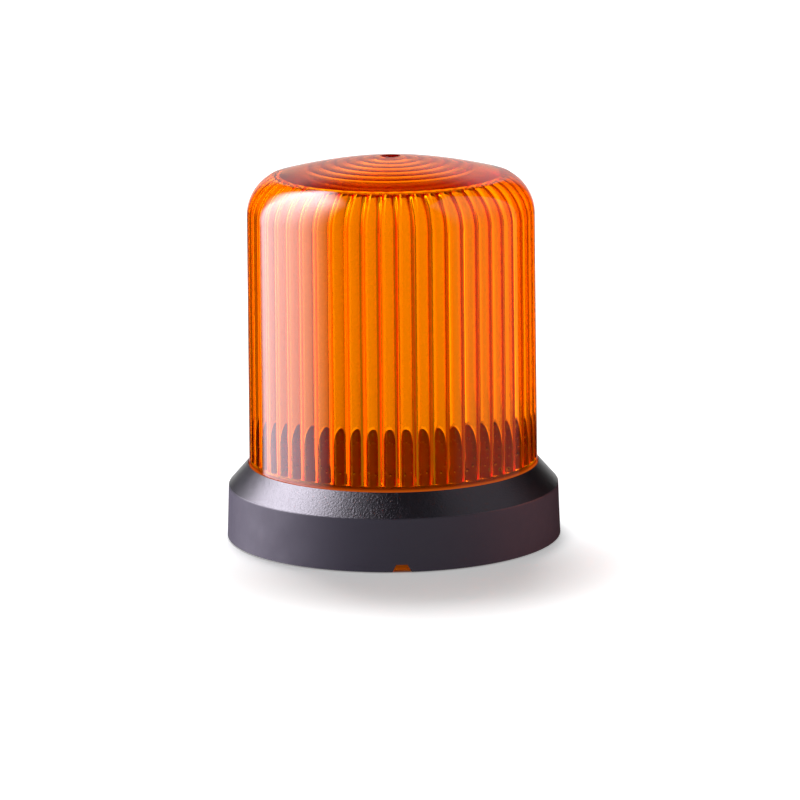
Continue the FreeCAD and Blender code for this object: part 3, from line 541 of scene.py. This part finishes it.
def dress_nodes():
    """Finishes of the CAD nodes that stay."""
    housing = plain_finish("black_housing", (0.02, 0.02, 0.022), (0.032, 0.032, 0.034), (0.45, 0.6))
    # A painted red cast in place of the amber light that reaches the deck, so that the deck's edge shows as
    # deep red arches through the amber and not as black holes
    deck = plain_finish("black_deck", (0.15, 0.016, 0.01), (0.19, 0.02, 0.014), (0.6, 0.7))
    deck.node_tree.nodes["Principled BSDF"].inputs["Specular IOR Level"].default_value = 0.15
    foam = plain_finish("sealing_foam", (0.035, 0.035, 0.036), (0.065, 0.065, 0.066), (0.85, 0.95),
                        fine=2500, broad=300, relief=0.15 * MM)
    rubber = plain_finish("soft_rubber", (0.018, 0.018, 0.019), (0.032, 0.032, 0.033), (0.6, 0.75))
    brass = plain_finish("insert_brass", (0.68, 0.46, 0.17), (0.8, 0.58, 0.26), (0.22, 0.4), metallic=1.0)
    green = plain_finish("green_board", (0.012, 0.13, 0.045), (0.022, 0.19, 0.07), (0.35, 0.5),
                         fine=4000, broad=500)
    board = plain_finish("dark_board", (0.03, 0.03, 0.032), (0.05, 0.05, 0.052), (0.5, 0.65))
    lights = plain_finish("led_phosphor", (0.16, 0.08, 0.02), (0.22, 0.12, 0.03), (0.3, 0.45))
    black_steel = plain_finish("dark_steel", (0.05, 0.05, 0.055), (0.1, 0.1, 0.105), (0.35, 0.5),
                               metallic=1.0)
    steel = plain_finish("plain_steel", (0.5, 0.5, 0.52), (0.64, 0.64, 0.66), (0.25, 0.4), metallic=1.0)
    terminal = plain_finish("terminal_green", (0.03, 0.26, 0.08), (0.05, 0.34, 0.11), (0.4, 0.55))
    can = plain_finish("capacitor_can", (0.6, 0.6, 0.62), (0.74, 0.74, 0.76), (0.25, 0.35), metallic=1.0)
    ferrite = plain_finish("ferrite_grey", (0.07, 0.07, 0.075), (0.12, 0.12, 0.13), (0.65, 0.8))
    package = plain_finish("package_black", (0.018, 0.018, 0.018), (0.03, 0.03, 0.03), (0.5, 0.65))
    fuse = plain_finish("fuse_brown", (0.13, 0.05, 0.022), (0.19, 0.08, 0.035), (0.3, 0.45))
    finishes = {
        "trim_ring": make_ring_finish(),
        "base_housing": housing,
        "led_cover": deck,
        "mounting_gasket": foam,
        "dome_seal": rubber,
        "cable_grommet": rubber,
        "mounting_inserts": brass,
        "driver_board": green,
        "led_board": board,
        "leds": lights,
        "cover_screws": black_steel,
        "driver_board_screws": steel,
        "terminal_screws": steel,
        "terminal_block": terminal,
        "storage_capacitors": can,
        "power_inductor": ferrite,
        "bridge_rectifier": package,
        "driver_chip": package,
        "input_fuse": fuse,
        "board_connector": package,
    }
    for name, finish in finishes.items():
        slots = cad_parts[name].data.materials
        slots.clear()
        slots.append(finish)


def make_floor():
    """A wide pale floor, clear from below; reflections pass it by, because the panels reach lower than it."""
    bm = bmesh.new()
    bmesh.ops.create_circle(bm, cap_ends=True, segments=96, radius=FLOOR_RADIUS)
    bmesh.ops.translate(bm, verts=bm.verts, vec=(0, 0, -FLOOR_GAP))
    mesh = bpy.data.meshes.new("floor")
    bm.to_mesh(mesh)
    bm.free()
    floor = bpy.data.objects.new("floor", mesh)
    bpy.context.scene.collection.objects.link(floor)
    material, tree, shader = new_material("pale_floor")
    shader.inputs["Base Color"].default_value = (*FLOOR_COLOUR, 1)
    shader.inputs["Roughness"].default_value = FLOOR_ROUGHNESS

    # White to the camera by emission, with painted shade: less of it round the beacon and none under it
    shader.inputs["Emission Color"].default_value = (1, 1, 1, 1)
    place = tree.nodes.new("ShaderNodeTexCoord")
    path = tree.nodes.new("ShaderNodeLightPath")
    away = measured(tree, "LENGTH", place.outputs["Object"])
    # Painted shade: the emission the camera sees falls off towards the beacon
    glow = spread(tree, away, FLOOR_SHADE_START, FLOOR_SHADE_END, FLOOR_SHADE, 1.0, smooth=True)
    outside = spread(tree, away, ring_high.x - 2 * MM, ring_high.x)
    shown = joined(tree, "MULTIPLY", [path.outputs["Is Camera Ray"], glow, outside])
    tree.links.new(shown, shader.inputs["Emission Strength"])

    side = tree.nodes.new("ShaderNodeNewGeometry")
    clear = tree.nodes.new("ShaderNodeBsdfTransparent")
    one_way = tree.nodes.new("ShaderNodeMixShader")
    tree.links.new(side.outputs["Backfacing"], one_way.inputs["Fac"])
    tree.links.new(shader.outputs["BSDF"], one_way.inputs[1])
    tree.links.new(clear.outputs["BSDF"], one_way.inputs[2])
    tree.links.new(one_way.outputs["Shader"], tree.nodes["Material Output"].inputs["Surface"])
    mesh.materials.append(material)
    floor.visible_glossy = False
    floor.visible_transmission = False
    return floor


def make_panel(name, place, turn_to, width, height, radiance, tint=(1, 1, 1)):
    """A soft studio panel that faces a point; radiance is what a mirror shows of it."""
    light = bpy.data.lights.new(name, "AREA")
    light.shape = "RECTANGLE"
    light.size = width
    light.size_y = height
    light.energy = radiance * math.pi * width * height
    light.color = tint
    panel = bpy.data.objects.new(name, light)
    bpy.context.scene.collection.objects.link(panel)
    facing = (Vector(turn_to) - Vector(place)).to_track_quat("-Z", "Y")
    panel.matrix_world = Matrix.Translation(place) @ facing.to_matrix().to_4x4()
    return panel


def shape_panel(panel, *fades):
    """Fades a panel's light by place, by the product of all fades, or the most of those in one list.

    A fade is the weights of x, y and z, then where along them it starts and ends, then its low and high.
    """
    panel.data.use_nodes = True
    tree = panel.data.node_tree
    spot = tree.nodes.new("ShaderNodeNewGeometry")

    def share(weights, start, end, low, high):
        along = measured(tree, "DOT_PRODUCT", spot.outputs["Position"], weights)
        return spread(tree, along, start, end, low, high, smooth=True)

    shares = []
    for fade in fades:
        choices = fade if isinstance(fade, list) else [fade]
        shares.append(joined(tree, "MAXIMUM", [share(*choice) for choice in choices]))
    tree.links.new(joined(tree, "MULTIPLY", shares), tree.nodes["Emission"].inputs["Strength"])


def light_set(name, pieces, state):
    """A set of pieces that a panel meets, for INCLUDE, or passes by, for EXCLUDE."""
    made = bpy.data.collections.new(name)
    for piece in pieces:
        made.objects.link(piece)
    for member in made.collection_objects:
        member.light_linking.link_state = state
    return made


def light_studio(floor):
    """Soft panels round the beacon."""
    left_softbox = make_panel("left_softbox", (-0.6, 0.4, 0.825), (0, 0.4, 0.825),
                              width=2.0, height=2.35, radiance=12.0, tint=LEFT_TINT)
    shape_panel(left_softbox,
                [((0, 1, -0.52), 0.0, 0.33, 1, 0), ((0, 1, 0), 0.33, 0.44, 1, 0)],
                ((0, 1, -0.09), -0.57, 0.03, 0, 1),
                ((0, -0.45, 1), 0.9, 1.7, 1, 0),
                ((0, 0, 1), -0.25, 0.85, 0.34, 1))
    right_panel = make_panel("right_panel", (0.6, -0.15, 0.65), (0, -0.15, 0.65),
                             width=0.9, height=1.7, radiance=1.3, tint=RIGHT_TINT)
    shape_panel(right_panel,
                ((0, 1, 0), -0.6, -0.375, 0, 1),
                ((0, 0, 1), 0.13, 0.62, 0.12, 0.4))
    amber_bounce = make_panel("amber_bounce", (0.4, 0.0, 0.06), (0, 0, 0.02),
                              width=0.4, height=0.12, radiance=2.6, tint=BOUNCE_TINT)
    front_fill = make_panel("front_fill", (0.3, -1.0, 0.35), (0, 0, 0.02),
                            width=1.0, height=1.0, radiance=2.5)
    key_light = make_panel("key_light", (-0.12, 0.62, 1.15), (0, 0, 0.05),
                           width=0.5, height=0.5, radiance=21.0)
    under_fill = make_panel("under_fill", (0.1, -0.2, -0.8), (0, 0, 0),
                            width=0.8, height=0.8, radiance=3.0)
    for light in (front_fill, key_light, under_fill):
        light.visible_glossy = False
        light.visible_transmission = False

    # The floor shows the key light's shadow alone
    all_but_floor = light_set("all_but_floor", [floor], "EXCLUDE")
    for light in (left_softbox, right_panel, front_fill):
        light.light_linking.receiver_collection = all_but_floor

    # The bounce warms the ring alone
    ring_only = light_set("ring_only", [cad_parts["trim_ring"]], "INCLUDE")
    amber_bounce.light_linking.receiver_collection = ring_only

    # The panel below the floor shines through it, on the underside alone
    below = ("base_housing", "mounting_gasket", "mounting_inserts", "cable_grommet")
    underside = light_set("underside", [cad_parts[name] for name in below], "INCLUDE")
    under_fill.light_linking.receiver_collection = underside
    under_fill.light_linking.blocker_collection = all_but_floor


def make_world():
    """White to the camera; gloss mirrors a backdrop, and a glow all round shows through the dome."""
    world = bpy.data.worlds.new("studio")
    bpy.context.scene.world = world
    world.use_nodes = True
    tree = world.node_tree
    place = tree.nodes.new("ShaderNodeTexCoord")
    parts = tree.nodes.new("ShaderNodeSeparateXYZ")
    tree.links.new(place.outputs["Generated"], parts.inputs["Vector"])
    path = tree.nodes.new("ShaderNodeLightPath")

    def ramp(value, start, end):
        return spread(tree, value, start, end, smooth=True)

    def rest(share):
        return combined(tree, "SUBTRACT", 1.0, share)

    def times(*values):
        return joined(tree, "MULTIPLY", values)

    def plus(*values):
        return joined(tree, "ADD", values)

    right = parts.outputs["X"]
    back = parts.outputs["Y"]
    up = parts.outputs["Z"]
    left = times(right, -1.0)
    down = times(up, -1.0)
    aside = combined(tree, "ABSOLUTE", right)

    low = rest(ramp(up, 0.35, 0.55))
    above_floor = ramp(up, -0.1, 0.05)
    middle = rest(ramp(aside, 0.2, 0.4))
    backdrop = times(ramp(back, 0.8, 0.92), low, above_floor, middle)
    horizon = times(ramp(back, 0.93, 0.985), rest(above_floor))
    mirrored = plus(times(backdrop, BACKDROP_MIRRORED), times(horizon, HORIZON_MIRRORED))

    glow = plus(times(ramp(back, 0.7, 0.95), GLOW_BEHIND), GLOW_ROUND)
    glow = times(glow, plus(times(ramp(down, 0.245, 0.36), GLOW_BELOW), 1.0))
    glow = plus(glow, times(ramp(left, 0.62, 0.8), ramp(back, 0.1, 0.5), GLOW_LEFT))

    met = plus(times(path.outputs["Is Glossy Ray"], mirrored),
               times(path.outputs["Is Transmission Ray"], glow),
               times(path.outputs["Is Diffuse Ray"], PLAIN_LIGHT))
    strength = combined(tree, "MAXIMUM", met, path.outputs["Is Camera Ray"])
    background = tree.nodes["Background"]
    background.inputs["Color"].default_value = (1, 1, 1, 1)
    tree.links.new(strength, background.inputs["Strength"])


def make_camera():
    """The camera that took the photograph."""
    data = bpy.data.cameras.new("photo_camera")
    data.sensor_width = CAMERA_SENSOR
    data.lens = CAMERA_LENS
    data.shift_x = CAMERA_SHIFT
    data.clip_end = CAMERA_REACH
    camera = bpy.data.objects.new("photo_camera", data)
    bpy.context.scene.collection.objects.link(camera)
    place = Matrix.Translation((0, -CAMERA_BACK, CAMERA_HEIGHT))
    pitch = Matrix.Rotation(math.pi / 2 - CAMERA_PITCH, 4, "X")
    camera.matrix_world = place @ pitch @ Matrix.Rotation(CAMERA_ROLL, 4, "Z")
    bpy.context.scene.camera = camera


amber = make_amber()
make_dome(amber)
make_lugs(amber)
dress_nodes()
light_studio(make_floor())
make_world()
make_camera()
bpy.context.scene.view_settings.view_transform = "Standard"

paths = bpy.context.scene.cycles
paths.max_bounces = LIGHT_BOUNCES
paths.glossy_bounces = MIRROR_BOUNCES
paths.transmission_bounces = LIGHT_BOUNCES
